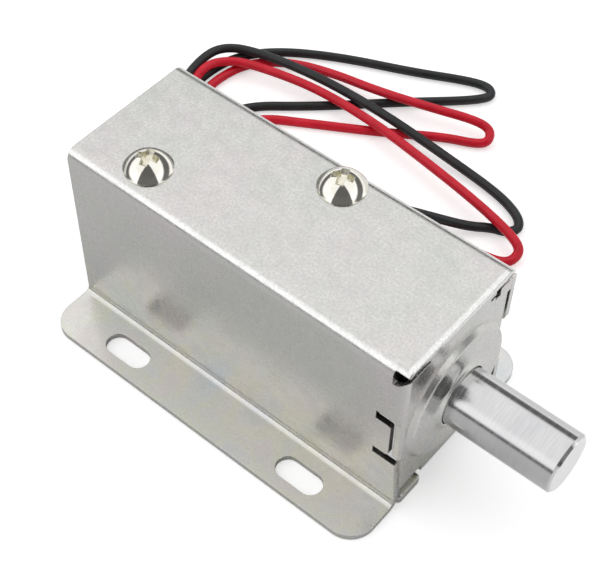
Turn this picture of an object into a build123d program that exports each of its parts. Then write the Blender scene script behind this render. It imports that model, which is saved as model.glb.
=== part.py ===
from build123d import *
import os
from math import cos, pi, radians, sin, tan

# Solenoid cabinet lock: a folded steel housing screwed to a box-frame
# solenoid whose round plunger is the lock's bolt.
# +X is the way the bolt points, +Y the side of the leads, +Z up.
# The origin is the centre of the four mounting slots, on the mounting plane.

# Housing, one folded sheet: roof, two walls, two feet and a front flap
sheet = 1.0
housing_length = 66.6
housing_width = 26.6
housing_height = 35.0
roof_bend = 2.0
foot_bend = 1.0
foot_span = 45.6
foot_corner = 4.5

# Mounting slots
slot_pitch_x = 37.5
slot_inset = 4.2
slot_length = 8.7
slot_width = 4.2

# Lances in the walls: a tongue in a cut that runs out to the front edge
lance_length = 4.8
lance_bottom = 11.8
lance_top = 22.8
tongue_length = 2.8
tongue_rise = 1.6
tongue_height = 7.5
tongue_corner = 0.7
lance_gap = 0.5
lance_dip = 0.45
lance_dip_slope = 0.13
strip_corner = 0.8
wall_slant = 0.65

# Front flap, folded from the -Y wall
flap_bend = 1.2
flap_seam = 0.04
fold_bottom = 13.4
fold_top = 31.5
relief_length = 2.6
relief_foot = 0.7
relief_corner = 0.3
relief_lift = 0.3
relief_reach = 1.5
flap_bottom = 2.8
flap_right_gap = 0.9
shoulder_start = 8.0
shoulder_drop = 0.8
shoulder_height = 2.6
edge_break = 0.35
lip_round = 0.25
nick_width = 1.3
nick_depth = 1.4

# Bolt's hole in the flap: a raised round with a rolled-in collar
emboss_radius = 11.2
emboss_shoulder = 0.8
emboss_rise = 0.9
emboss_roll = 0.5
emboss_draft = 0.4
funnel_radius = 1.8
collar_length = 3.1

# Toe: a tab under the flap, set back by a joggle, bent forward and its lip turned down
toe_width = 5.8
toe_edge = 6.4
toe_notch = 1.5
toe_setback = 1.5
toe_top = 1.8
toe_rise = 0.1
toe_reach = 0.3
toe_round = 0.8

# Bolt, which is also the solenoid's plunger
axis_height = 17.9
bolt_radius = 5.0
bolt_reach = 20.5
bolt_chamfer = 0.5
stroke = 10.0
running_fit = 0.08
rest_gap = 0.3
cone_length = 4.0
cone_tip_radius = 2.6
groove_radius = 4.1
groove_slack = 0.1

# Parts on the bolt
clip_thickness = 1.0
clip_radius = 7.2
clip_lug_radius = 5.6
clip_lug_width = 2.6
clip_lug_angles = (90, 210, 330)
clip_mouth = 6.6
washer_thickness = 0.8
washer_radius = 7.4
buffer_thickness = 1.5
buffer_radius = 7.4
spring_wire = 0.7
spring_mean_radius = 6.6
spring_turns = 4
spring_closed_pitch = 0.75
spring_steps = 12

# Solenoid frame
frame_thickness = 2.0
frame_width = 22.0
frame_rear = -28.1
frame_length = 39.0
frame_foot = 5.0
frame_bend = 2.0
stake_width = 8.0
stake_proud = 0.4
stake_clearance = 0.05
lead_notch_width = 6.8
lead_notch_height = 6.8

# Fixed core, guide sleeve and coil
core_front = -13.5
core_slack = 0.03
spigot_radius = 3.0
rivet_radius = 4.0
rivet_height = 0.8
rivet_chamfer = 0.4
seat_rim = 0.4
disc_thickness = 0.4
disc_radius = 2.3
sleeve_wall = 0.4
sleeve_proud = 0.5
insulator_thickness = 0.3
bobbin_tube_wall = 0.9
bobbin_flange = 1.2
bobbin_side_gap = 0.1
fit_gap = 0.05
winding_inset = 0.8
tape_thickness = 0.35

# Cover screws
screw_end_inset = 6.9
rear_screw_side_inset = 3.5
front_screw_side_inset = 2.3
screw_radius = 1.95
screw_hole_radius = 2.0
screw_clearance_radius = 2.25
screw_length = 5.0
screw_head_radius = 4.0
screw_head_height = 2.7
screw_head_rim = 0.6
recess_width = 1.1
recess_length = 4.4
recess_depth = 1.6
recess_turn = 20

# Leads
lead_radius = 0.9
lead_start = -20.5
joint_sleeve_radius = 1.3
joint_sleeve_length = 9.0
joint_sleeve_front = -15.4
joint_length = 4.0
joint_angles = {"red": -40, "black": -60}
tip_radius = 0.5
tip_length = 5.0
arc_share = 0.45

# The leads' routes over the surface the lock stands on, after the coil
black_route = [
    (-45.0, 8.8, 4.4), (-52.6, 18.5, 2.2), (-56.6, 30.0, 2.6), (-58.3, 41.0, 3.0), (-56.6, 48.2, 3.0),
    (-48.0, 51.4, 3.0), (-34.0, 53.2, 3.0), (-18.5, 52.7, 3.0), (-4.0, 51.4, 1.8), (8.0, 51.8, 0.9),
    (16.8, 49.7, 0.9), (16.8, 45.5, 0.9), (12.6, 43.9, 0.9), (8.0, 42.2, 1.6), (2.0, 39.0, 3.0),
    (-4.0, 35.4, 3.0), (-11.0, 30.4, 1.4), (-23.0, 25.6, 0.9), (-37.0, 23.5, 0.9), (-43.9, 29.2, 0.9),
    (-43.9, 38.2, 0.9), (-33.0, 47.4, 0.9), (-20.0, 60.0, 0.9), (-11.6, 67.6, 0.9), (-7.7, 71.9, 0.9),
    (-8.0, 74.2, 0.9), (-10.1, 75.3, 0.9), (-15.0, 73.4, 0.9), (-24.0, 68.6, 0.9), (-38.0, 62.0, 0.9),
    (-48.6, 55.6, 0.9), (-53.8, 48.8, 0.9), (-55.0, 41.2, 0.9), (-54.0, 34.0, 0.9), (-51.6, 27.4, 0.9),
]
red_route = [
    (-44.0, 12.4, 5.4), (-51.2, 21.4, 2.2), (-55.0, 31.4, 2.6), (-56.4, 40.4, 3.0), (-52.8, 45.8, 3.0),
    (-46.0, 47.9, 3.0), (-34.0, 50.2, 3.0), (-19.0, 49.8, 3.0), (-5.0, 47.9, 3.0), (6.0, 46.2, 3.0),
    (14.8, 44.5, 3.0), (19.3, 43.4, 2.2), (20.3, 41.3, 1.3), (19.3, 39.3, 0.9), (16.0, 38.6, 0.9),
    (9.5, 38.2, 0.9), (-1.0, 37.3, 0.9), (-12.5, 35.0, 0.9), (-24.5, 29.8, 0.9), (-34.5, 27.6, 0.9),
    (-40.0, 31.8, 0.9), (-39.6, 38.4, 0.9), (-30.5, 43.9, 0.9), (-18.0, 50.8, 0.9), (-8.5, 56.9, 0.9),
    (-1.7, 59.6, 0.9), (-1.2, 62.0, 1.5), (-2.8, 63.7, 2.4), (-7.5, 63.1, 3.0), (-14.0, 61.1, 3.0),
    (-25.0, 57.6, 3.0), (-36.0, 56.9, 1.6), (-44.5, 54.6, 0.9), (-50.4, 49.3, 0.9), (-52.4, 42.5, 0.9),
    (-51.6, 35.0, 0.9), (-49.0, 28.6, 0.9),
]

# Faces that the pieces share
front_edge = housing_length / 2
rear_edge = -housing_length / 2
wall_outer = housing_width / 2
wall_inner = wall_outer - sheet
roof_under = housing_height - sheet
slot_pitch_y = foot_span - 2 * slot_inset
flap_back = front_edge - sheet
flap_top = roof_under - flap_seam
flap_right = wall_inner - flap_right_gap
shoulder_top = roof_under - shoulder_drop
fold_end = housing_height - roof_bend
tongue_tip = front_edge - lance_length + tongue_length
lance_end = tongue_tip + lance_gap
notch_top = flap_bottom + toe_notch
collar_end = flap_back - collar_length + sheet
bolt_tip = front_edge + bolt_reach
frame_front = frame_rear + frame_length
frame_side = frame_width / 2
cavity_rear = frame_rear + frame_thickness
cavity_front = frame_front - frame_thickness
screw_places = [
    (frame_rear + screw_end_inset, -frame_side + rear_screw_side_inset),
    (frame_front - screw_end_inset, frame_side - front_screw_side_inset),
]
hole_radius = bolt_radius + running_fit
sleeve_inner = bolt_radius + running_fit
sleeve_outer = sleeve_inner + sleeve_wall
recess_bottom = core_front - cone_length
disc_front = recess_bottom + disc_thickness
plunger_end = disc_front + rest_gap + stroke
buffer_front = collar_end - rest_gap
clip_front = buffer_front - buffer_thickness - groove_slack
washer_front = clip_front - clip_thickness - groove_slack
spring_front = washer_front - washer_thickness
bobbin_bore = sleeve_outer + fit_gap
bobbin_outer = bobbin_bore + bobbin_tube_wall
bobbin_radius = frame_side - bobbin_side_gap
winding_radius = bobbin_radius - winding_inset
flange_rear = cavity_rear + insulator_thickness + bobbin_flange
flange_front = cavity_front - insulator_thickness - bobbin_flange
axis_plane = Plane(origin=(0, 0, axis_height), x_dir=(0, 1, 0), z_dir=(1, 0, 0))
half_plane = Plane(origin=(0, 0, axis_height), x_dir=(1, 0, 0), z_dir=(0, -1, 0))
bolt_axis = Axis((0, 0, axis_height), (1, 0, 0))

# How far a cutting shape runs past the face that it cuts, and how near counts as on a face
over = 1.0
near = 0.01


def disc(radius, x0, x1, bore=0.0):
    """A round about the bolt's axis, from x0 to x1, with a bore."""
    ring = Circle(radius)
    if bore:
        ring -= Circle(bore)
    return extrude(axis_plane.offset(x0) * ring, amount=x1 - x0)


def turned(points):
    """A turned piece: (x, radius) points of one half, round the bolt's axis."""
    return revolve(half_plane * make_face(Polyline(*points, close=True)), bolt_axis)


def block(x0, x1, y0, y1, z0, z1):
    """A box between six faces."""
    centre = ((x0 + x1) / 2, (y0 + y1) / 2, (z0 + z1) / 2)
    return Pos(*centre) * Box(x1 - x0, y1 - y0, z1 - z0)


def rounded(face, corners):
    """Round a flat outline's corners: a list of ((u, v), radius)."""
    for (u, v), radius in corners:
        corner = face.vertices().sort_by(lambda p: (p.X - u) ** 2 + (p.Y - v) ** 2)[0]
        face = fillet(corner, radius)
    return face


def edges_along(part, axis, test):
    """The part's straight edges along an axis whose centre passes a test."""
    return [e for e in part.edges().filter_by(axis) if test(e.center())]


def hat_profile():
    """The housing's section across the bolt's axis."""
    foot = foot_span / 2
    outside = Polyline(
        (-foot, 0), (-foot, sheet), (-wall_outer, sheet), (-wall_outer, housing_height),
        (wall_outer, housing_height), (wall_outer, sheet), (foot, sheet), (foot, 0), close=True,
    )
    outside = rounded(make_face(outside), [
        ((-wall_outer, sheet), foot_bend), ((wall_outer, sheet), foot_bend),
        ((-wall_outer, housing_height), roof_bend), ((wall_outer, housing_height), roof_bend),
    ])
    inside = Polyline(
        (-foot, -sheet), (-foot, 0), (-wall_inner, 0), (-wall_inner, roof_under),
        (wall_inner, roof_under), (wall_inner, 0), (foot, 0), (foot, -sheet), close=True,
    )
    inside = rounded(make_face(inside), [
        ((-wall_inner, 0), foot_bend + sheet), ((wall_inner, 0), foot_bend + sheet),
        ((-wall_inner, roof_under), roof_bend - sheet), ((wall_inner, roof_under), roof_bend - sheet),
    ])
    return outside - inside


def rectangle(u0, u1, v0, v1):
    """A flat rectangle between four sides."""
    return Pos((u0 + u1) / 2, (v0 + v1) / 2) * Rectangle(u1 - u0, v1 - v0)


def through_wall(outline, side, reach=0.0):
    """Extrude an (x, z) outline through one wall, side -1 or 1, and on by reach to the inside."""
    outer = side * (wall_outer + over)
    inner = side * (wall_inner - over / 2 - reach)
    plane = Plane(origin=(0, max(outer, inner), 0), x_dir=(1, 0, 0), z_dir=(0, -1, 0))
    return extrude(plane * outline, amount=abs(outer - inner))


def lance(side):
    """The cut round the tongue of one wall. On the flap's side it ends just past the tongue."""
    back = front_edge - lance_length
    end = lance_end if side < 0 else front_edge + over
    outline = rectangle(back, end, lance_bottom, lance_top)
    if side < 0:
        outline += rectangle(back, front_edge + over, lance_bottom, fold_bottom)
    tongue_bottom = lance_bottom + tongue_rise
    tongue_top = tongue_bottom + tongue_height
    tongue = rounded(rectangle(back - over, tongue_tip, tongue_bottom, tongue_top), [
        ((tongue_tip, tongue_bottom), tongue_corner), ((tongue_tip, tongue_top), edge_break),
    ])
    return through_wall(outline - tongue, side)


def lance_dip_cut():
    """The shallow dip in the flap's bend, beside the end of the lance."""
    depth = -wall_outer + lance_dip
    outline = make_face(Polyline(
        (lance_end - near, -wall_outer - over), (front_edge, -wall_outer - over),
        (front_edge, depth - lance_dip_slope * (front_edge - lance_end)), (lance_end - near, depth),
        close=True,
    ))
    return extrude(Plane.XY.offset(fold_bottom) * outline, amount=lance_top - fold_bottom)


def slanted_end():
    """What is cut from the -Y wall's lower front edge, which slants forward to the foot."""
    outline = make_face(Polyline(
        (front_edge - wall_slant, lance_bottom + over), (front_edge - wall_slant, lance_bottom),
        (front_edge, flap_bottom), (front_edge + over, flap_bottom),
        (front_edge + over, lance_bottom + over), close=True,
    ))
    return through_wall(outline, -1)


def corner_relief(side):
    """The teardrop hole where roof, wall and front flap meet."""
    back = front_edge - relief_length
    top = roof_under + relief_lift
    outline = make_face(Polyline(
        (back, fold_top), (back, top), (front_edge + over, top), (front_edge + over, fold_end),
        (front_edge - edge_break, fold_end), (back + relief_foot, fold_top), close=True,
    ))
    outline = rounded(outline, [
        ((back, fold_top), relief_corner), ((back, top), relief_corner),
        ((back + relief_foot, fold_top), relief_corner),
    ])
    return through_wall(outline, side, relief_reach - over / 2)


def flap_outline():
    """The front flap's outline across the bolt's axis: toe's notch, right edge, shoulders, torn nick."""
    low_left = -wall_inner + flap_seam
    high_right = wall_inner - flap_seam
    outline = rectangle(low_left, flap_right, flap_bottom, shoulder_top)
    outline -= rectangle(low_left - over, -toe_edge, flap_bottom - over, notch_top)
    outline += rectangle(flap_right - sheet, high_right, shoulder_top - shoulder_height, shoulder_top)
    outline += rectangle(-shoulder_start, shoulder_start, shoulder_top - sheet, flap_top)
    nick_bottom = shoulder_top - nick_depth
    nick_end = shoulder_start + nick_width
    outline -= rectangle(shoulder_start - nick_width, nick_end, shoulder_top - nick_depth / 2, shoulder_top)
    outline -= rectangle(shoulder_start, nick_end, nick_bottom, roof_under)
    return outline


def raised_round():
    """The pressed ring round the bolt and the collar rolled in from it."""
    top = front_edge + emboss_rise
    foot = emboss_radius + emboss_shoulder
    inner_foot = foot - emboss_draft
    inner_top = emboss_radius - emboss_draft
    outline = make_face(Polyline(
        (flap_back, foot), (front_edge, foot), (top, emboss_radius), (top, hole_radius),
        (collar_end, hole_radius), (collar_end, hole_radius + sheet), (top - sheet, hole_radius + sheet),
        (top - sheet, inner_top), (flap_back, inner_foot), close=True,
    ))
    outline = rounded(outline, [
        ((top, hole_radius), funnel_radius), ((top - sheet, hole_radius + sheet), funnel_radius - sheet),
        ((top, emboss_radius), emboss_roll), ((top - sheet, inner_top), emboss_roll / 2),
    ])
    return revolve(half_plane * outline, bolt_axis)


def toe():
    """The tab under the flap: set back by a joggle, bent forward, its lip turned down."""
    back = flap_back - toe_setback
    tip = front_edge + toe_reach
    profile = make_face(Polyline(
        (flap_back, notch_top + sheet), (front_edge, notch_top + sheet), (front_edge, notch_top),
        (back + sheet, notch_top - sheet), (back + sheet, toe_top), (tip, toe_top), (tip, toe_rise),
        (tip - sheet, toe_rise), (tip - sheet, toe_top - sheet), (back, toe_top - sheet),
        (back, notch_top), close=True,
    ))
    profile = rounded(profile, [
        ((back, toe_top - sheet), sheet), ((tip, toe_top), edge_break),
    ])
    plane = Plane(origin=(0, -toe_edge, 0), x_dir=(1, 0, 0), z_dir=(0, -1, 0))
    tab = extrude(plane * profile, amount=toe_width)
    tips = edges_along(tab, Axis.Z, lambda c: c.X > tip - near)
    return fillet(tips, toe_round)


def fold():
    """The bend that joins the -Y wall to the flap, between its two reliefs."""
    back = front_edge - flap_bend - sheet
    inner = -wall_outer + flap_bend + sheet
    outline = make_face(Polyline(
        (back, -wall_outer), (front_edge, -wall_outer), (front_edge, inner), (flap_back, inner),
        (flap_back, -wall_inner), (back, -wall_inner), close=True,
    ))
    outline = rounded(outline, [
        ((front_edge, -wall_outer), flap_bend), ((flap_back, -wall_inner), flap_bend - sheet),
    ])
    return extrude(Plane.XY.offset(fold_bottom) * outline, amount=fold_end - fold_bottom)


def folded_flap():
    """The flap as it stands in front of the walls, with its raised round and toe."""
    outline = Plane.YZ.offset(flap_back) * flap_outline()
    flat = extrude(outline, amount=sheet)
    ring = emboss_radius + emboss_shoulder
    room = extrude(outline, amount=4 * sheet) + extrude(outline, amount=-collar_length)
    return flat - disc(ring, flap_back - over, front_edge + over) + (raised_round() & room) + toe()


def housing():
    body = extrude(Plane.YZ.offset(rear_edge) * hat_profile(), amount=housing_length)
    foot = foot_span / 2
    body = fillet(edges_along(body, Axis.Z, lambda c: abs(abs(c.Y) - foot) < near), foot_corner)
    for slot in GridLocations(slot_pitch_x, slot_pitch_y, 2, 2):
        body -= slot * extrude(SlotOverall(slot_length, slot_width), amount=sheet + over)
    for x, y in screw_places:
        body -= Pos(x, y, housing_height) * Cylinder(screw_clearance_radius, 4 * sheet)
    body -= block(front_edge - flap_bend - sheet, front_edge + over, -wall_outer - over, -wall_inner,
                  fold_bottom, fold_end)
    body += fold() - lance_dip_cut()
    body -= slanted_end()
    for side in (-1, 1):
        body -= lance(side)
    strip = edges_along(body, Axis.Y, lambda c: c.X > front_edge - near and c.Y > 0 and
                        abs(c.Z - lance_top) < near)
    body = fillet(strip, strip_corner)
    body += folded_flap()
    for side in (-1, 1):
        body -= corner_relief(side)
    lip = [e for e in body.edges() if e.center().X > front_edge - near and
           e.center().Z > roof_under + relief_lift + near]
    return fillet(lip, lip_round)


def bolt():
    """Plunger and bolt in one: chamfered tip, clip groove, cone at the inner end."""
    groove_front = clip_front + groove_slack / 2
    groove_rear = groove_front - clip_thickness - groove_slack
    return turned([
        (plunger_end, 0), (plunger_end, cone_tip_radius), (plunger_end + cone_length, bolt_radius),
        (groove_rear, bolt_radius), (groove_rear, groove_radius), (groove_front, groove_radius),
        (groove_front, bolt_radius), (bolt_tip - bolt_chamfer, bolt_radius),
        (bolt_tip, bolt_radius - bolt_chamfer), (bolt_tip, 0),
    ])


def retaining_clip():
    """E-clip: a ring open on one side, three lugs that grip the groove."""
    x0 = clip_front - clip_thickness
    ring = Circle(clip_radius) - Circle(clip_lug_radius)
    grip = groove_radius + fit_gap
    lug = rectangle(0, (clip_lug_radius + clip_radius) / 2, -clip_lug_width / 2, clip_lug_width / 2)
    for angle in clip_lug_angles:
        ring += Rot(0, 0, angle) * lug
    ring -= Circle(grip)
    ring -= Rot(0, 0, -90) * rectangle(0, clip_radius + over, -clip_mouth / 2, clip_mouth / 2)
    return extrude(axis_plane.offset(x0) * ring, amount=clip_thickness)


def spring():
    """Compression spring with one closed turn at each end."""
    r = spring_wire / 2
    start = frame_front + r + fit_gap
    end = spring_front - r - fit_gap
    length = end - start
    open_pitch = (length - 2 * spring_closed_pitch) / spring_turns
    points = []
    turns = spring_turns + 2
    for i in range(turns * spring_steps + 1):
        turn = i / spring_steps
        if turn < 1:
            x = spring_closed_pitch * turn
        elif turn > turns - 1:
            x = length - spring_closed_pitch * (turns - turn)
        else:
            x = spring_closed_pitch + open_pitch * (turn - 1)
        a = 2 * pi * turn
        points.append((start + x, spring_mean_radius * cos(a), axis_height + spring_mean_radius * sin(a)))
    path = Spline(*points)
    section = Plane(origin=path @ 0, z_dir=path % 0) * Circle(r)
    return sweep(section, path=path)


def frame_leg(x0):
    """One leg of the solenoid frame with its stake for the closing plate."""
    leg = block(x0, x0 + frame_thickness, -frame_side, frame_side, frame_foot, roof_under)
    stake = block(x0, x0 + frame_thickness, -stake_width / 2, stake_width / 2,
                  frame_foot - frame_thickness - stake_proud, frame_foot)
    return leg + stake


def yoke_frame():
    body = block(frame_rear, frame_front, -frame_side, frame_side, roof_under - frame_thickness, roof_under)
    body += frame_leg(frame_rear) + frame_leg(cavity_front)
    bends = edges_along(body, Axis.Y, lambda c: c.Z > roof_under - near and
                        (c.X < frame_rear + near or c.X > frame_front - near))
    body = fillet(bends, frame_bend)
    body -= disc(sleeve_outer + fit_gap, cavity_front - over, frame_front + over)
    body -= disc(spigot_radius + fit_gap, frame_rear - over, cavity_rear + over)
    for x, y in screw_places:
        body -= Pos(x, y, roof_under) * Cylinder(screw_hole_radius, 3 * frame_thickness)
    body -= block(frame_rear - over, cavity_rear + near, frame_side - lead_notch_width,
                  frame_side + over, frame_foot - near, frame_foot + lead_notch_height)
    return body


def yoke_plate():
    """Flat plate that closes the frame, staked on both legs."""
    plate = block(frame_rear, frame_front, -frame_side, frame_side, frame_foot - frame_thickness, frame_foot)
    side = stake_width / 2 + stake_clearance
    reach = frame_thickness + stake_clearance
    plate -= block(frame_rear - over, frame_rear + reach, -side, side, 0, frame_foot + over)
    plate -= block(frame_front - reach, frame_front + over, -side, side, 0, frame_foot + over)
    return plate


def fixed_core():
    """Stationary pole: spigot riveted through the rear leg, conical seat in front."""
    r = sleeve_inner - core_slack
    seat = cone_tip_radius + rest_gap
    rivet_end = frame_rear - rivet_height
    return turned([
        (rivet_end, 0), (rivet_end, rivet_radius - rivet_chamfer), (rivet_end + rivet_chamfer, rivet_radius),
        (frame_rear, rivet_radius), (frame_rear, spigot_radius), (cavity_rear, spigot_radius),
        (cavity_rear, r), (core_front, r), (core_front, r - seat_rim), (recess_bottom, seat),
        (recess_bottom, 0),
    ])


def bobbin():
    """Spool of the winding: a tube with a flange at each end."""
    body = disc(bobbin_outer, flange_rear - bobbin_flange, flange_front + bobbin_flange, bobbin_bore)
    for x0, x1 in ((flange_rear - bobbin_flange, flange_rear), (flange_front, flange_front + bobbin_flange)):
        body += disc(bobbin_radius, x0, x1, bobbin_bore)
    return body


def on_coil(colour):
    """Y and Z of a lead where it lies on the coil."""
    a = radians(joint_angles[colour])
    r = bobbin_radius + fit_gap + lead_radius
    return r * cos(a), axis_height + r * sin(a)


def cover_screws():
    """Two pan-head screws with cross recesses, through the roof into the frame."""
    rim = screw_head_rim
    dome = screw_head_height - rim
    sphere = (screw_head_radius ** 2 + dome ** 2) / (2 * dome)
    screws = []
    for x, y in screw_places:
        base = housing_height
        head = Pos(x, y, base + rim / 2) * Cylinder(screw_head_radius, rim)
        cap = Pos(x, y, base + rim + dome - sphere) * Sphere(sphere)
        cap &= Pos(x, y, base + rim + dome / 2) * Cylinder(screw_head_radius, dome)
        shank = Pos(x, y, base - screw_length / 2) * Cylinder(screw_radius, screw_length)
        screw = head + cap + shank
        top = base + screw_head_height
        for angle in (recess_turn, recess_turn + 90):
            slot = Pos(x, y, top) * Rot(0, 0, angle) * Box(recess_length, recess_width, 2 * recess_depth)
            screw -= slot
        screws.append(screw)
    return screws


def joint_sleeve(colour):
    y, z = on_coil(colour)
    ring = Circle(joint_sleeve_radius) - Circle(lead_radius)
    plane = Plane(origin=(joint_sleeve_front - joint_sleeve_length, y, z), x_dir=(0, 1, 0), z_dir=(1, 0, 0))
    return extrude(plane * ring, amount=joint_sleeve_length)


def solder_joint(colour):
    y, z = on_coil(colour)
    plane = Plane(origin=(lead_start, y, z), x_dir=(0, 1, 0), z_dir=(1, 0, 0))
    return extrude(plane * Circle(tip_radius), amount=joint_length)


def lead_points(colour):
    """A lead's route: along the coil, out of the open rear end, then over the surface."""
    y, z = on_coil(colour)
    route = black_route if colour == "black" else red_route
    return [Vector(lead_start, y, z), Vector(rear_edge - 0.2, y, z)] + [Vector(*p) for p in route]


def lead(colour):
    points = lead_points(colour)
    radii = []
    for a, b, c in zip(points, points[1:], points[2:]):
        half_turn = radians((b - a).get_angle(c - b)) / 2
        radii.append(arc_share * min((b - a).length, (c - b).length) / tan(half_turn))
    path = FilletPolyline(*points, radius=radii)
    section = Plane(origin=path @ 0, z_dir=path % 0) * Circle(lead_radius)
    tube = sweep(section, path=path)
    print(f"{colour} lead: length {path.length:.1f}, radii", [round(r, 1) for r in radii])
    print(f"  volume over section times length {tube.volume / (pi * lead_radius ** 2 * path.length):.4f}")
    return tube


def lead_tip(colour):
    """The bare tinned end of a lead."""
    a, b = lead_points(colour)[-2:]
    return extrude(Plane(origin=b, z_dir=(b - a).normalized()) * Circle(tip_radius), amount=tip_length)


def build():
    solids = {
        "housing": housing(),
        "cover_screws": cover_screws(),
        "yoke_frame": yoke_frame(),
        "yoke_plate": yoke_plate(),
        "fixed_core": fixed_core(),
        "anti_residual_disc": disc(disc_radius, recess_bottom, disc_front),
        "guide_sleeve": disc(sleeve_outer, cavity_rear, frame_front + sleeve_proud, sleeve_inner),
        "bobbin": bobbin(),
        "bolt": bolt(),
        "retaining_clip": retaining_clip(),
        "spring_washer": disc(washer_radius, spring_front, washer_front, hole_radius),
        "buffer_washer": disc(buffer_radius, buffer_front - buffer_thickness, buffer_front, hole_radius),
        "return_spring": spring(),
        "coil_winding": disc(winding_radius, flange_rear, flange_front, bobbin_outer),
        "winding_tape": disc(winding_radius + tape_thickness, flange_rear, flange_front, winding_radius),
        "rear_insulator": disc(bobbin_radius, cavity_rear, cavity_rear + insulator_thickness, bobbin_bore),
        "front_insulator": disc(bobbin_radius, cavity_front - insulator_thickness, cavity_front, bobbin_bore),
        "solder_joints": [solder_joint("red"), solder_joint("black")],
        "joint_sleeves": [joint_sleeve("red"), joint_sleeve("black")],
        "red_wire": lead("red"),
        "black_wire": lead("black"),
        "red_wire_tip": lead_tip("red"),
        "black_wire_tip": lead_tip("black"),
    }
    return solids


os.makedirs("parts", exist_ok=True)
for name, shape in build().items():
    if isinstance(shape, list):
        shape = Compound(children=shape)
    export_step(shape, f"parts/{name}.step")
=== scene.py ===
import bmesh
import bpy
from math import cos, pi, radians, sin, sqrt
from mathutils import Matrix, Vector


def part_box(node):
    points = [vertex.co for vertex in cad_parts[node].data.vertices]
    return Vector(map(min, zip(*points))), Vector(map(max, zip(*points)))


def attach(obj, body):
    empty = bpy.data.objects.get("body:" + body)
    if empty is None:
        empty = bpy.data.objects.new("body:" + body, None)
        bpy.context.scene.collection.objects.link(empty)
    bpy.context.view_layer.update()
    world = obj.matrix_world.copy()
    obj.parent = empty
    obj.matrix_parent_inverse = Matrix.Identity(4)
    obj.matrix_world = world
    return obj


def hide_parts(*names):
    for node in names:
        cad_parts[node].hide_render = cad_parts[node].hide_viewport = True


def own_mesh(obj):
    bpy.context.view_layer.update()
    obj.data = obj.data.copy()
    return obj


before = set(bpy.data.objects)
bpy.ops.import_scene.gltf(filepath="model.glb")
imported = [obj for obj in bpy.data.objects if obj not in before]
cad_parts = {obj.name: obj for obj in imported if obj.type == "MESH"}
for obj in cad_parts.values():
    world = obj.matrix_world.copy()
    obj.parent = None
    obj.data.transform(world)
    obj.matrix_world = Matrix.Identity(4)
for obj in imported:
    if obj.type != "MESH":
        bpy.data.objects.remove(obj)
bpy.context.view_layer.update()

MM = 0.001

# Camera: the photograph's own place and angle, in metres and degrees
CAMERA_PLACE = (0.08999, -0.10694, 0.18959)
CAMERA_AZIMUTH = 38.657
CAMERA_ELEVATION = 51.243
CAMERA_ROLL = 1.371
CAMERA_LENS = 81.29
CAMERA_SENSOR = 36
CAMERA_NEAR = 0.01

# Leads, with their routes in millimetres: the part's own routes, moved along the photograph
LEAD_DIAMETER = 0.0018
JOINT_ANGLES = {"red": -40, "black": -60}
COIL_RADIUS = 0.0109
FIT_GAP = 0.00005
AXIS_HEIGHT = 0.0179
LEAD_START = -0.0205
HOUSING_REAR = -0.0333
REAR_CLEARANCE = 0.0002
BLACK_ROUTE = [
    (-45.0, 8.8, 4.4), (-50.6, 17.6, 3.0), (-53.2, 28.6, 3.2), (-57.1, 40.6, 3.0), (-56.1, 47.5, 3.0),
    (-47.6, 50.9, 3.0), (-33.7, 52.8, 3.0), (-18.5, 52.7, 3.0), (-4.7, 52.3, 1.8), (7.5, 51.7, 0.9),
    (13.6, 49.7, 0.9), (16.0, 47.2, 0.9), (15.0, 44.9, 0.9), (11.9, 43.9, 0.9), (8.9, 40.9, 1.6),
    (3.2, 37.4, 3.0), (-3.6, 34.9, 3.0), (-11.0, 30.4, 1.4), (-23.0, 25.6, 0.9), (-37.0, 23.5, 0.9),
    (-43.8, 29.0, 0.9), (-43.8, 38.0, 0.9), (-32.7, 47.1, 0.9), (-19.9, 59.8, 0.9), (-11.7, 67.2, 0.9),
    (-8.2, 71.2, 0.9), (-8.1, 73.0, 0.9), (-10.2, 74.1, 0.9), (-14.6, 72.6, 0.9), (-23.5, 67.9, 0.9),
    (-37.7, 61.7, 0.9), (-48.2, 55.1, 0.9), (-53.5, 48.5, 0.9), (-55.0, 41.2, 0.9), (-54.0, 34.0, 0.9),
    (-51.6, 27.4, 0.9),
]
RED_ROUTE = [
    (-44.0, 12.4, 5.4), (-48.3, 19.9, 2.8), (-50.9, 30.7, 3.0), (-55.5, 39.8, 3.0), (-52.3, 45.1, 3.0),
    (-45.7, 47.5, 3.0), (-33.7, 49.9, 3.0), (-18.9, 49.6, 3.0), (-4.8, 47.6, 3.0), (6.4, 45.7, 3.0),
    (15.1, 43.6, 3.0), (19.0, 42.4, 2.2), (19.6, 40.8, 1.3), (18.7, 38.6, 0.9), (15.2, 37.5, 0.9),
    (8.8, 37.0, 0.9), (-1.2, 36.4, 0.9), (-12.5, 35.0, 0.9), (-24.5, 29.8, 0.9), (-34.5, 27.6, 0.9),
    (-40.0, 31.8, 0.9), (-39.1, 37.7, 0.9), (-30.0, 43.2, 0.9), (-17.7, 50.5, 0.9), (-8.5, 56.9, 0.9),
    (-2.1, 59.7, 0.9), (-0.8, 61.4, 1.4), (-2.0, 63.3, 2.3), (-5.4, 62.8, 3.0), (-13.3, 60.2, 3.0),
    (-24.5, 57.0, 3.0), (-35.6, 56.4, 1.6), (-44.1, 54.1, 0.9), (-50.1, 49.0, 0.9), (-52.1, 42.2, 0.9),
    (-51.6, 35.0, 0.9), (-49.0, 28.6, 0.9),
]

# Bare strands at the end of each lead, with how many turns they twist and how uneven their lengths are
TIP_LENGTH = 0.005
STRAND_RADIUS = 0.00015
STRAND_RING = 0.00031
STRAND_COUNT = 6
STRAND_TWIST = 1.1
STRAND_STEPS = 12
STRAND_UNEVEN = 0.06

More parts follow.
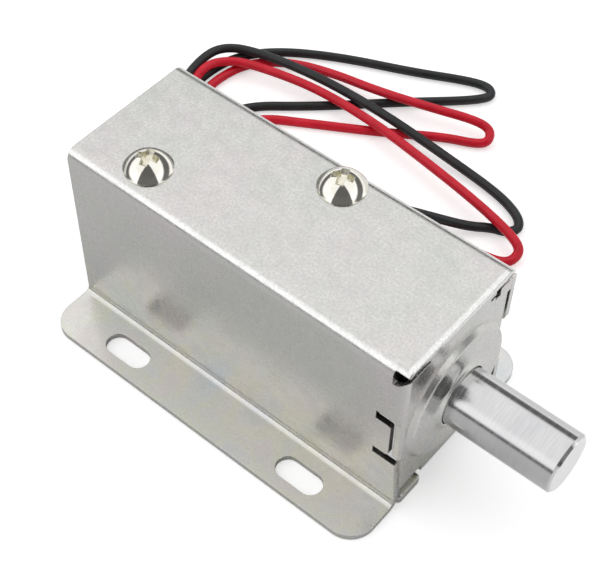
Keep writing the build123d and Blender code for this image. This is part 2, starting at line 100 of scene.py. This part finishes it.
# Cover screws: each size of the recess is its reach and half its width
HEAD_RADIUS = 0.004
HEAD_HEIGHT = 0.0027
HEAD_EDGE = 0.00008
RIM_HEIGHT = 0.00035
RIM_EDGE = 0.0001
DOME_RADIUS = 0.00393
DOME_RINGS = 22
SHANK_RADIUS = 0.00195
SHANK_LENGTH = 0.005
THREAD_PITCH = 0.0007
THREAD_DEPTH = 0.0002
RECESS_TURN = 20
RECESS_TOP = (0.0028, 0.0008)
RECESS_FLOOR = (0.0011, 0.0005)
RECESS_DEPTH = 0.0011
CUTTER_RISE = 0.0004
SCREW_SHARP = 28

# Lip of the bolt's hole, drawn out of the flap: (radius, distance along X) of its outline
HOLE_LIP = [
    (0.00512, 0.0336), (0.00512, 0.0347), (0.00514, 0.03484), (0.00521, 0.03493), (0.00533, 0.03497),
    (0.00547, 0.03493), (0.00560, 0.03483), (0.00576, 0.03467), (0.00596, 0.03451), (0.00622, 0.03438),
    (0.00660, 0.03428), (0.0071, 0.034225), (0.0077, 0.03420), (0.0084, 0.03418), (0.0090, 0.03416),
    (0.0090, 0.0340),
]
LIP_SHARP = 50

# Sides of a turned piece
LATHE_STEPS = 96

# Heights that part the housing's roof from its walls, and its stained low parts from the rest
ROOF_HEIGHT = 0.0345
STAIN_HEIGHT = 0.019

# Where the painted highlight on the roof's bends begins and is full: out along Y, forward along X, and up
SIDE_BEND = (0.0120, 0.0125)
FRONT_BEND = (0.0322, 0.0326)
BEND_HEIGHT = (0.0338, 0.0343)

# Length over which the bolt's colour turns paler before its end face, as a painted highlight
END_FADE = 0.0003

# Studio's dark band at the horizon, in degrees: its middle and half height in front and at the back
BAND_FRONT = 6
BAND_BACK = 23
FRONT_HALF = 6
BACK_HALF = 12
BAND_EDGE = (-3, 5)
BAND_DARK = 0.13

# Degrees from the camera's azimuth to where the band is lowest, and the cosines between which it sinks
BAND_TURN = -30
BAND_CLIMB = (-0.9, 0.6)

# Dark gap behind the camera, between the two soft boxes
GAP_SPREAD = 0.92
GAP_EDGE = (-0.03, 0.04)
GAP_DARK = 0.12

# Strengths of the sky and of the soft boxes, the elevations in degrees where the boxes end at the top,
# and the cosines of the turn to the camera where they begin at the sides
SKY = 1.15
SOFT_BOX = 1.33
BOX_TOP = (48, 32)
BOX_SIDE = (-0.4, 0.1)

# Floor, how much it glows to the camera and in reflections, and how far towards +X and +Y the glow in
# reflections sets in
FLOOR_HALF = 1.5
FLOOR_DROP = 0.0001
FLOOR_COLOUR = (0.82, 0.82, 0.82)
FLOOR_WHITE = 0.52
FLOOR_GLOSS = 0.24
GLOSS_START = (0.005, 0.045)


def add_camera():
    az, el, roll = radians(CAMERA_AZIMUTH), radians(CAMERA_ELEVATION), radians(CAMERA_ROLL)
    back = Vector((sin(az) * cos(el), -cos(az) * cos(el), sin(el)))
    right = Vector((cos(az), sin(az), 0))
    up = back.cross(right)
    x = cos(roll) * right + sin(roll) * up
    y = cos(roll) * up - sin(roll) * right
    data = bpy.data.cameras.new("camera")
    data.lens = CAMERA_LENS
    data.sensor_width = CAMERA_SENSOR
    data.sensor_fit = "HORIZONTAL"
    data.clip_start = CAMERA_NEAR
    camera = bpy.data.objects.new("camera", data)
    camera.matrix_world = Matrix((x, y, back)).transposed().to_4x4()
    camera.location = CAMERA_PLACE
    bpy.context.collection.objects.link(camera)
    bpy.context.scene.camera = camera


class Tree:
    """A node tree, with the arithmetic that the materials and the world share."""

    def __init__(self, tree):
        self.nodes = tree.nodes
        self.links = tree.links

    def put(self, socket, value):
        """Set an input to a number, or link another node's output to it."""
        if isinstance(value, (int, float)):
            socket.default_value = value
        else:
            self.links.new(value, socket)

    def math(self, operation, *values):
        node = self.nodes.new("ShaderNodeMath")
        node.operation = operation
        for socket, value in zip(node.inputs, values):
            self.put(socket, value)
        return node.outputs["Value"]

    def dot(self, vector, direction):
        node = self.nodes.new("ShaderNodeVectorMath")
        node.operation = "DOT_PRODUCT"
        node.inputs[1].default_value = direction
        self.links.new(vector, node.inputs[0])
        return node.outputs["Value"]

    def part(self, vector, axis):
        node = self.nodes.new("ShaderNodeSeparateXYZ")
        self.links.new(vector, node.inputs[0])
        return node.outputs[axis]

    def spread(self, value, start, end, low, high):
        """Map start..end of a value to low..high, smoothly."""
        node = self.nodes.new("ShaderNodeMapRange")
        node.interpolation_type = "SMOOTHSTEP"
        for key, number in (("From Min", start), ("From Max", end), ("To Min", low), ("To Max", high)):
            node.inputs[key].default_value = number
        self.links.new(value, node.inputs["Value"])
        return node.outputs["Result"]


class Finish(Tree):
    """One procedural material, worked out from object coordinates in metres."""

    def __init__(self, name, metallic=0.0, roughness=0.5):
        self.material = bpy.data.materials.new(name)
        self.material.use_nodes = True
        super().__init__(self.material.node_tree)
        self.shader = self.nodes["Principled BSDF"]
        self.shader.inputs["Metallic"].default_value = metallic
        self.shader.inputs["Roughness"].default_value = roughness
        self.place = self.nodes.new("ShaderNodeTexCoord").outputs["Object"]

    def along(self, axis):
        return self.part(self.place, axis)

    def stretched(self, scale):
        """Object coordinates times a scale for each axis."""
        mapping = self.nodes.new("ShaderNodeMapping")
        mapping.inputs["Scale"].default_value = scale
        self.links.new(self.place, mapping.inputs["Vector"])
        return mapping.outputs["Vector"]

    def noise(self, scale, detail=2.0, roughness=0.5, vector=None, distortion=0.0):
        node = self.nodes.new("ShaderNodeTexNoise")
        node.inputs["Scale"].default_value = scale
        node.inputs["Detail"].default_value = detail
        node.inputs["Roughness"].default_value = roughness
        node.inputs["Distortion"].default_value = distortion
        self.links.new(vector or self.place, node.inputs["Vector"])
        return node.outputs["Fac"]

    def ramp(self, factor, stops):
        node = self.nodes.new("ShaderNodeValToRGB")
        elements = node.color_ramp.elements
        while len(elements) < len(stops):
            elements.new(0.5)
        for element, (position, colour) in zip(elements, stops):
            element.position = position
            element.color = (*colour, 1)
        self.links.new(factor, node.inputs["Fac"])
        return node.outputs["Color"]

    def blend(self, factor, a, b, kind="MIX"):
        """Blend colour b over a. The factor is a socket or a number."""
        node = self.nodes.new("ShaderNodeMix")
        node.data_type = "RGBA"
        node.blend_type = kind
        self.put(node.inputs[0], factor)
        self.links.new(a, node.inputs[6])
        self.links.new(b, node.inputs[7])
        return node.outputs[2]

    def relief(self, height, distance, edge=0.0):
        """Bump from a height, over edges that are rounded by a small radius."""
        bump = self.nodes.new("ShaderNodeBump")
        bump.inputs["Distance"].default_value = distance
        self.links.new(height, bump.inputs["Height"])
        if edge:
            bevel = self.nodes.new("ShaderNodeBevel")
            bevel.samples = 4
            bevel.inputs["Radius"].default_value = edge
            self.links.new(bevel.outputs["Normal"], bump.inputs["Normal"])
        self.links.new(bump.outputs["Normal"], self.shader.inputs["Normal"])

    def set(self, colour, roughness):
        self.links.new(colour, self.shader.inputs["Base Color"])
        self.links.new(roughness, self.shader.inputs["Roughness"])


def plated_sheet():
    """Zinc-plated sheet: speckled roof with a painted highlight on its bends, smoother walls, faint stains
    low down.
    """
    f = Finish("plated_sheet_finish", metallic=1.0)
    mottle = f.ramp(f.noise(58, 4, 0.6), [
        (0.32, (0.635, 0.655, 0.625)), (0.48, (0.67, 0.665, 0.645)), (0.66, (0.70, 0.67, 0.665)),
    ])
    stain = f.ramp(f.noise(130, 2, 0.5, distortion=0.6), [
        (0.30, (0.60, 0.64, 0.68)), (0.42, (0.66, 0.66, 0.65)), (0.52, (0.69, 0.69, 0.56)),
        (0.60, (0.67, 0.66, 0.62)), (0.70, (0.72, 0.64, 0.62)),
    ])
    low = f.spread(f.along("Z"), STAIN_HEIGHT, STAIN_HEIGHT / 3, 0.0, 0.5)
    colour = f.blend(low, mottle, stain)
    grain = f.noise(2200, 3, 0.65)
    roof = f.spread(f.along("Z"), ROOF_HEIGHT - MM, ROOF_HEIGHT, 0.3, 1.0)
    speckle = f.ramp(grain, [
        (0.32, (0.84, 0.84, 0.84)), (0.5, (0.93, 0.93, 0.93)), (0.68, (1.04, 1.04, 1.04)),
    ])
    colour = f.blend(roof, colour, f.blend(1.0, colour, speckle, "MULTIPLY"))
    # Painted highlight: a paler colour laid over the roof's side and front bends, up near the roof
    bright = f.ramp(grain, [(0.35, (0.74, 0.74, 0.73)), (0.6, (0.88, 0.88, 0.87))])
    out = f.along("Y")
    sides = f.spread(f.math("MULTIPLY", out, out), SIDE_BEND[0] ** 2, SIDE_BEND[1] ** 2, 0.0, 1.0)
    front = f.spread(f.along("X"), *FRONT_BEND, 0.0, 1.0)
    high = f.spread(f.along("Z"), *BEND_HEIGHT, 0.0, 1.0)
    for bend in (sides, front):
        colour = f.blend(f.math("MULTIPLY", bend, high), colour, bright)
    f.set(colour, f.spread(f.noise(420, 3, 0.6), 0.3, 0.7, 0.22, 0.32))
    f.relief(grain, 0.00001, edge=0.00018)
    return f.material


def turned_steel(name, base, rough=(0.18, 0.34), depth=0.00001, end=None):
    """Turned metal: fine marks round the X axis, broken into short dashes. From end on X it is painted
    paler, as a painted highlight on the end face.
    """
    f = Finish(name, metallic=1.0)
    turning = f.noise(1.0, 3, 0.6, vector=f.stretched((3200, 260, 260)))
    soft = f.noise(160, 2)
    dark, light = tuple(0.93 * c for c in base), tuple(min(1.0, 1.06 * c) for c in base)
    shade = f.ramp(turning, [(0.3, dark), (0.55, base), (0.72, light)])
    cloud = f.ramp(soft, [(0.35, (0.92, 0.92, 0.93)), (0.65, (1, 1, 1))])
    colour = f.blend(1.0, shade, cloud, "MULTIPLY")
    # Painted highlight: the bolt's end face and the short stretch before it are coloured paler
    if end:
        pale = f.ramp(soft, [(0.35, (0.86, 0.86, 0.865)), (0.65, (0.93, 0.93, 0.935))])
        colour = f.blend(f.spread(f.along("X"), end - END_FADE, end, 0.0, 1.0), colour, pale)
    f.set(colour, f.spread(turning, 0.3, 0.7, *rough))
    f.relief(turning, depth, edge=0.0001)
    return f.material


def metal(name, dark, light, scale=220, rough=(0.3, 0.42)):
    """Plain metal: two tones in soft clouds, fine grain."""
    f = Finish(name, metallic=1.0)
    grain = f.noise(1800, 2)
    f.set(f.ramp(f.noise(scale, 3, 0.6), [(0.3, dark), (0.7, light)]), f.spread(grain, 0.3, 0.7, *rough))
    f.relief(grain, 0.00002, edge=0.0001)
    return f.material


def nickel(name, dark, light, rough=(0.05, 0.1)):
    """Bright nickel plating, slightly warm, with soft unevenness."""
    f = Finish(name, metallic=1.0)
    cloud = f.noise(700, 2)
    f.set(f.ramp(cloud, [(0.3, dark), (0.7, light)]), f.spread(f.noise(2500, 2), 0.3, 0.7, *rough))
    f.relief(cloud, 0.00001, edge=0.00008)
    return f.material


def dull(name, dark, light, scale=300, rough=(0.45, 0.6), depth=0.00003, stretch=None, specular=0.5):
    """Plastic, rubber, board or tape: two tones and a fine relief."""
    f = Finish(name)
    f.shader.inputs["Specular IOR Level"].default_value = specular
    if stretch:
        cloud = f.noise(1.0, 3, 0.6, vector=f.stretched(stretch))
    else:
        cloud = f.noise(scale, 3, 0.6)
    f.set(f.ramp(cloud, [(0.3, dark), (0.7, light)]), f.spread(cloud, 0.3, 0.7, *rough))
    f.relief(cloud, depth)
    return f.material


def pvc(name, dark, light):
    """Semi-gloss PVC insulation with faint waves along it."""
    f = Finish(name)
    f.shader.inputs["Specular IOR Level"].default_value = 0.35
    wave = f.noise(260, 2)
    f.set(f.ramp(wave, [(0.3, dark), (0.7, light)]), f.spread(f.noise(900, 2), 0.3, 0.7, 0.30, 0.42))
    f.relief(wave, 0.00006)
    return f.material


def dress_nodes(sheet_finish):
    """Give every CAD node that shows its own finish."""
    frame_steel = metal("frame_steel_finish", (0.50, 0.50, 0.49), (0.60, 0.60, 0.58))
    fibre = dull("fibre_board_finish", (0.22, 0.12, 0.07), (0.36, 0.21, 0.12), stretch=(900, 150, 900))
    finishes = {
        "housing": sheet_finish,
        "yoke_frame": frame_steel,
        "yoke_plate": frame_steel,
        "fixed_core": turned_steel("core_steel_finish", (0.52, 0.52, 0.51)),
        "anti_residual_disc": metal("disc_brass_finish", (0.66, 0.47, 0.20), (0.78, 0.60, 0.30)),
        "guide_sleeve": turned_steel("sleeve_brass_finish", (0.76, 0.60, 0.30), rough=(0.2, 0.3)),
        "bobbin": dull("bobbin_nylon_finish", (0.78, 0.77, 0.70), (0.86, 0.85, 0.79), scale=160),
        "coil_winding": dull("copper_wire_finish", (0.42, 0.17, 0.07), (0.66, 0.32, 0.16),
                             rough=(0.2, 0.35), depth=0.00008, stretch=(3600, 40, 40)),
        "winding_tape": dull("coil_tape_finish", (0.70, 0.52, 0.08), (0.84, 0.68, 0.17),
                             rough=(0.25, 0.4), depth=0.00006, stretch=(420, 30, 30)),
        "rear_insulator": fibre,
        "front_insulator": fibre,
        "bolt": turned_steel("bolt_steel_finish", (0.64, 0.64, 0.645), rough=(0.12, 0.2),
                             depth=0.000003, end=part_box("bolt")[1][0]),
        "retaining_clip": metal("clip_steel_finish", (0.26, 0.26, 0.27), (0.38, 0.38, 0.39),
                                rough=(0.25, 0.4)),
        "spring_washer": metal("washer_steel_finish", (0.52, 0.52, 0.50), (0.64, 0.64, 0.61)),
        "buffer_washer": dull("buffer_rubber_finish", (0.035, 0.035, 0.035), (0.07, 0.07, 0.07),
                              specular=0.3),
        "return_spring": turned_steel("spring_steel_finish", (0.42, 0.42, 0.43), rough=(0.25, 0.4)),
        "solder_joints": metal("solder_finish", (0.56, 0.56, 0.55), (0.72, 0.72, 0.70), scale=900),
        "joint_sleeves": dull("sleeving_finish", (0.02, 0.02, 0.02), (0.06, 0.06, 0.06), rough=(0.35, 0.5)),
    }
    for node, finish in finishes.items():
        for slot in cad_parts[node].material_slots:
            slot.material = finish


def bare_curve(name, radius, resolution, material):
    """An empty curve object, round in section."""
    curve = bpy.data.curves.new(name, "CURVE")
    curve.dimensions = "3D"
    curve.bevel_depth = radius
    curve.bevel_resolution = resolution
    curve.use_fill_caps = True
    curve.materials.append(material)
    piece = bpy.data.objects.new(name, curve)
    bpy.context.collection.objects.link(piece)
    return piece


def add_spline(piece, points):
    """A smooth line that starts at the first point, ends at the last and is drawn to those between."""
    spline = piece.data.splines.new("NURBS")
    spline.points.add(len(points) - 1)
    for point, place in zip(spline.points, points):
        point.co = (*place, 1)
    spline.order_u = 3
    spline.use_endpoint_u = True


def lead_points(colour):
    a = radians(JOINT_ANGLES[colour])
    r = COIL_RADIUS + FIT_GAP + LEAD_DIAMETER / 2
    y, z = r * cos(a), AXIS_HEIGHT + r * sin(a)
    route = BLACK_ROUTE if colour == "black" else RED_ROUTE
    points = [(LEAD_START, y, z), (HOUSING_REAR - REAR_CLEARANCE, y, z)]
    return points + [(u * MM, v * MM, w * MM) for u, v, w in route]


def strands(colour, material):
    """The bare end of a lead: thin twisted strands round a middle one."""
    points = [Vector(p) for p in lead_points(colour)[-2:]]
    along = (points[1] - points[0]).normalized()
    side = along.cross(Vector((0, 0, 1))).normalized()
    up = side.cross(along)
    piece = bare_curve(f"{colour}_strands", STRAND_RADIUS, 2, material)
    for k in range(STRAND_COUNT + 1):
        ring = STRAND_RING if k < STRAND_COUNT else 0.0
        reach = TIP_LENGTH * (1 - STRAND_UNEVEN + STRAND_UNEVEN * cos(2.4 * k))
        places = []
        for i in range(STRAND_STEPS + 1):
            t = i / STRAND_STEPS
            a = 2 * pi * (k / STRAND_COUNT + STRAND_TWIST * t)
            places.append(points[1] + along * reach * t + ring * (cos(a) * side + sin(a) * up))
        add_spline(piece, places)
    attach(piece, "lock_body")
    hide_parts(f"{colour}_wire_tip")
    return piece


def add_lead(colour, material, tinned):
    points = lead_points(colour)
    lead = bare_curve(f"{colour}_lead", LEAD_DIAMETER / 2, 5, material)
    add_spline(lead, points)
    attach(lead, "lock_body")
    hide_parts(f"{colour}_wire")
    strands(colour, tinned)


def screw_profile():
    """Half outline of a pan-head screw as (radius, height), from the shank's end to the crown."""
    root = SHANK_RADIUS - THREAD_DEPTH
    outline = [(0.0, -SHANK_LENGTH), (root - THREAD_DEPTH, -SHANK_LENGTH)]
    threads = int((SHANK_LENGTH - 2 * THREAD_PITCH) / THREAD_PITCH)
    for i in range(threads):
        z = -SHANK_LENGTH + THREAD_PITCH * (i + 0.5)
        outline += [(root, z), (SHANK_RADIUS, z + THREAD_PITCH / 2)]
    outline += [(root, -THREAD_PITCH), (root, 0.0)]
    edge = HEAD_RADIUS - HEAD_EDGE
    outline += [(edge, 0.0), (HEAD_RADIUS, HEAD_EDGE), (HEAD_RADIUS, RIM_HEIGHT - RIM_EDGE),
                (edge, RIM_HEIGHT), (DOME_RADIUS, RIM_HEIGHT)]
    rise = HEAD_HEIGHT - RIM_HEIGHT
    sphere = (DOME_RADIUS ** 2 + rise ** 2) / (2 * rise)
    for i in range(1, DOME_RINGS):
        r = DOME_RADIUS * (1 - i / DOME_RINGS)
        drop = (sphere - sqrt(sphere ** 2 - r ** 2) + rise * (r / DOME_RADIUS) ** 2) / 2
        outline.append((r, HEAD_HEIGHT - drop))
    outline.append((0.0, HEAD_HEIGHT))
    return outline


def lathe(outline, ring=False):
    """A closed mesh turned from a half outline round the Z axis, or a ring from a closed outline."""
    bm = bmesh.new()
    rings = []
    for r, z in outline:
        if r == 0:
            rings.append([bm.verts.new((0, 0, z))])
            continue
        turns = [2 * pi * k / LATHE_STEPS for k in range(LATHE_STEPS)]
        rings.append([bm.verts.new((r * cos(a), r * sin(a), z)) for a in turns])
    for lower, upper in zip(rings, rings[1:] + (rings[:1] if ring else [])):
        for k in range(LATHE_STEPS):
            n = (k + 1) % LATHE_STEPS
            if len(lower) == 1:
                bm.faces.new((lower[0], upper[n], upper[k]))
            elif len(upper) == 1:
                bm.faces.new((lower[k], lower[n], upper[0]))
            else:
                bm.faces.new((lower[k], lower[n], upper[n], upper[k]))
    return bm


def recess_cutter():
    """A cross that narrows towards its floor, for the screwdriver's recess."""
    bm = bmesh.new()
    floor, top = HEAD_HEIGHT - RECESS_DEPTH, HEAD_HEIGHT + CUTTER_RISE
    levels = []
    for (reach, half), z in ((RECESS_FLOOR, floor), (RECESS_TOP, top)):
        corners = []
        for k in range(4):
            a = radians(RECESS_TURN) + k * pi / 2
            u, v = Vector((cos(a), sin(a), 0)), Vector((-sin(a), cos(a), 0))
            corners += [reach * u - half * v, reach * u + half * v, half * u + half * v]
        levels.append([bm.verts.new((c.x, c.y, z)) for c in corners])
    lower, upper = levels
    count = len(lower)
    bm.faces.new(list(reversed(lower)))
    bm.faces.new(upper)
    for k in range(count):
        n = (k + 1) % count
        bm.faces.new((lower[k], lower[n], upper[n], upper[k]))
    return bm


def mesh_object(name, bm, materials):
    bmesh.ops.recalc_face_normals(bm, faces=bm.faces)
    mesh = bpy.data.meshes.new(name)
    bm.to_mesh(mesh)
    bm.free()
    for material in materials:
        mesh.materials.append(material)
    piece = bpy.data.objects.new(name, mesh)
    bpy.context.collection.objects.link(piece)
    return piece


def add_screws(bright, inside):
    """Both pan-head screws in one piece, their heads on the roof."""
    head = mesh_object("screw_blank", lathe(screw_profile()), [bright, inside])
    cutter = mesh_object("recess_cutter", recess_cutter(), [inside])
    cut = head.modifiers.new("recess", "BOOLEAN")
    cut.operation = "DIFFERENCE"
    cut.object = cutter
    cut.material_mode = "TRANSFER"
    graph = bpy.context.evaluated_depsgraph_get()
    screw = bpy.data.meshes.new_from_object(head.evaluated_get(graph))
    low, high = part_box("cover_screws")
    places = [(low[0] + HEAD_RADIUS, low[1] + HEAD_RADIUS), (high[0] - HEAD_RADIUS, high[1] - HEAD_RADIUS)]
    base = high[2] - HEAD_HEIGHT
    bm = bmesh.new()
    for x, y in places:
        screw.transform(Matrix.Translation((x, y, base)))
        bm.from_mesh(screw)
        screw.transform(Matrix.Translation((-x, -y, -base)))
    mesh = bpy.data.meshes.new("pan_head_screws")
    bm.to_mesh(mesh)
    bm.free()
    for material in screw.materials:
        mesh.materials.append(material)
    mesh.shade_smooth()
    mesh.set_sharp_from_angle(angle=radians(SCREW_SHARP))
    for leftover in (head, cutter):
        bpy.data.objects.remove(leftover)
    piece = bpy.data.objects.new("pan_head_screws", mesh)
    bpy.context.collection.objects.link(piece)
    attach(piece, "lock_body")
    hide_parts("cover_screws")


def add_hole_lip(material):
    """The lip round the bolt that stands out of the flap's raised round."""
    bm = lathe(HOLE_LIP, ring=True)
    bm.transform(Matrix.Translation((0, 0, AXIS_HEIGHT)) @ Matrix.Rotation(pi / 2, 4, "Y"))
    piece = mesh_object("hole_lip", bm, [material])
    piece.data.shade_smooth()
    piece.data.set_sharp_from_angle(angle=radians(LIP_SHARP))
    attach(piece, "lock_body")


def add_spring():
    """The return spring as a piece with its own mesh; the real spring shortens towards its fixed end as the
    bolt withdraws.
    """
    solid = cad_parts["return_spring"]
    piece = bpy.data.objects.new("return_coil", solid.data.copy())
    bpy.context.collection.objects.link(piece)
    piece.matrix_world = solid.matrix_world
    for own, given in zip(piece.material_slots, solid.material_slots):
        own.material = given.material
    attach(piece, "lock_body")
    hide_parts("return_spring")
    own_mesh(piece)


def add_floor():
    """A pale floor that keeps the shadow and shows white behind the object."""
    h = FLOOR_HALF
    mesh = bpy.data.meshes.new("floor")
    mesh.from_pydata([(-h, -h, 0), (h, -h, 0), (h, h, 0), (-h, h, 0)], [], [(0, 1, 2, 3)])
    floor = bpy.data.objects.new("floor", mesh)
    floor.location.z = -FLOOR_DROP
    bpy.context.collection.objects.link(floor)
    f = Finish("floor", roughness=0.9)
    f.shader.inputs["Base Color"].default_value = (*FLOOR_COLOUR, 1)
    f.shader.inputs["Specular IOR Level"].default_value = 0.1
    path = f.nodes.new("ShaderNodeLightPath").outputs
    away = f.spread(f.dot(f.place, (sqrt(0.5), sqrt(0.5), 0)), *GLOSS_START, 0.0, 1.0)
    seen = f.math("MULTIPLY", path["Is Camera Ray"], FLOOR_WHITE)
    gloss = f.math("MULTIPLY", f.math("MULTIPLY", path["Is Glossy Ray"], FLOOR_GLOSS), away)
    through = f.math("MULTIPLY", path["Is Transmission Ray"], FLOOR_WHITE)
    glow = f.nodes.new("ShaderNodeEmission")
    f.put(glow.inputs["Strength"], f.math("MAXIMUM", f.math("MAXIMUM", seen, gloss), through))
    both = f.nodes.new("ShaderNodeAddShader")
    f.links.new(f.shader.outputs["BSDF"], both.inputs[0])
    f.links.new(glow.outputs["Emission"], both.inputs[1])
    f.links.new(both.outputs["Shader"], f.nodes["Material Output"].inputs["Surface"])
    mesh.materials.append(f.material)


class Sky(Tree):
    """Arithmetic on the world's direction."""

    def __init__(self, tree):
        super().__init__(tree)
        self.direction = self.nodes.new("ShaderNodeTexCoord").outputs["Generated"]

    def towards(self, azimuth):
        """How far the direction points to an azimuth, measured as the camera's is."""
        a = radians(azimuth)
        return self.dot(self.direction, (sin(a), -cos(a), 0))


def add_studio():
    """Soft white surroundings with a dark band at the horizon and a dark gap behind the camera."""
    world = bpy.data.worlds.new("studio")
    bpy.context.scene.world = world
    world.use_nodes = True
    sky = Sky(world.node_tree)
    elevation = sky.math("ARCSINE", sky.part(sky.direction, "Z"))
    near = sky.towards(CAMERA_AZIMUTH)
    side = sky.math("ABSOLUTE", sky.towards(CAMERA_AZIMUTH + 90))
    turned = sky.towards(CAMERA_AZIMUTH + BAND_TURN)
    middle = sky.spread(turned, *BAND_CLIMB, radians(BAND_BACK), radians(BAND_FRONT))
    half = sky.spread(turned, *BAND_CLIMB, radians(BACK_HALF), radians(FRONT_HALF))
    off = sky.math("SUBTRACT", sky.math("ABSOLUTE", sky.math("SUBTRACT", elevation, middle)), half)
    band = sky.spread(off, *(radians(edge) for edge in BAND_EDGE), BAND_DARK, 1.0)
    behind = sky.math("SUBTRACT", sky.math("MULTIPLY", near, GAP_SPREAD), side)
    gap = sky.spread(behind, *GAP_EDGE, 1.0, GAP_DARK)
    low = sky.spread(elevation, *(radians(edge) for edge in BOX_TOP), SKY, SOFT_BOX)
    boxes = sky.math("MINIMUM", sky.spread(near, *BOX_SIDE, SKY, SOFT_BOX), low)
    light = sky.math("MULTIPLY", sky.math("MULTIPLY", band, gap), boxes)
    seen = sky.nodes.new("ShaderNodeLightPath").outputs["Is Camera Ray"]
    sky.put(sky.nodes["Background"].inputs["Strength"], sky.math("MAXIMUM", seen, light))
    sky.nodes["Background"].inputs["Color"].default_value = (1, 1, 1, 1)


add_camera()
tinned_copper = metal("tinned_finish", (0.58, 0.57, 0.54), (0.74, 0.73, 0.70), scale=900)
add_lead("red", pvc("red_pvc_finish", (0.66, 0.006, 0.024), (0.80, 0.014, 0.040)), tinned_copper)
add_lead("black", pvc("black_pvc_finish", (0.018, 0.020, 0.021), (0.032, 0.034, 0.036)), tinned_copper)
sheet_finish = plated_sheet()
dress_nodes(sheet_finish)
add_hole_lip(sheet_finish)
add_spring()
add_screws(nickel("nickel_screw_finish", (0.80, 0.78, 0.70), (0.86, 0.84, 0.78)),
           nickel("recess_finish", (0.74, 0.71, 0.58), (0.88, 0.86, 0.74), rough=(0.2, 0.35)))
add_floor()
add_studio()
bpy.context.scene.view_settings.view_transform = "Standard"
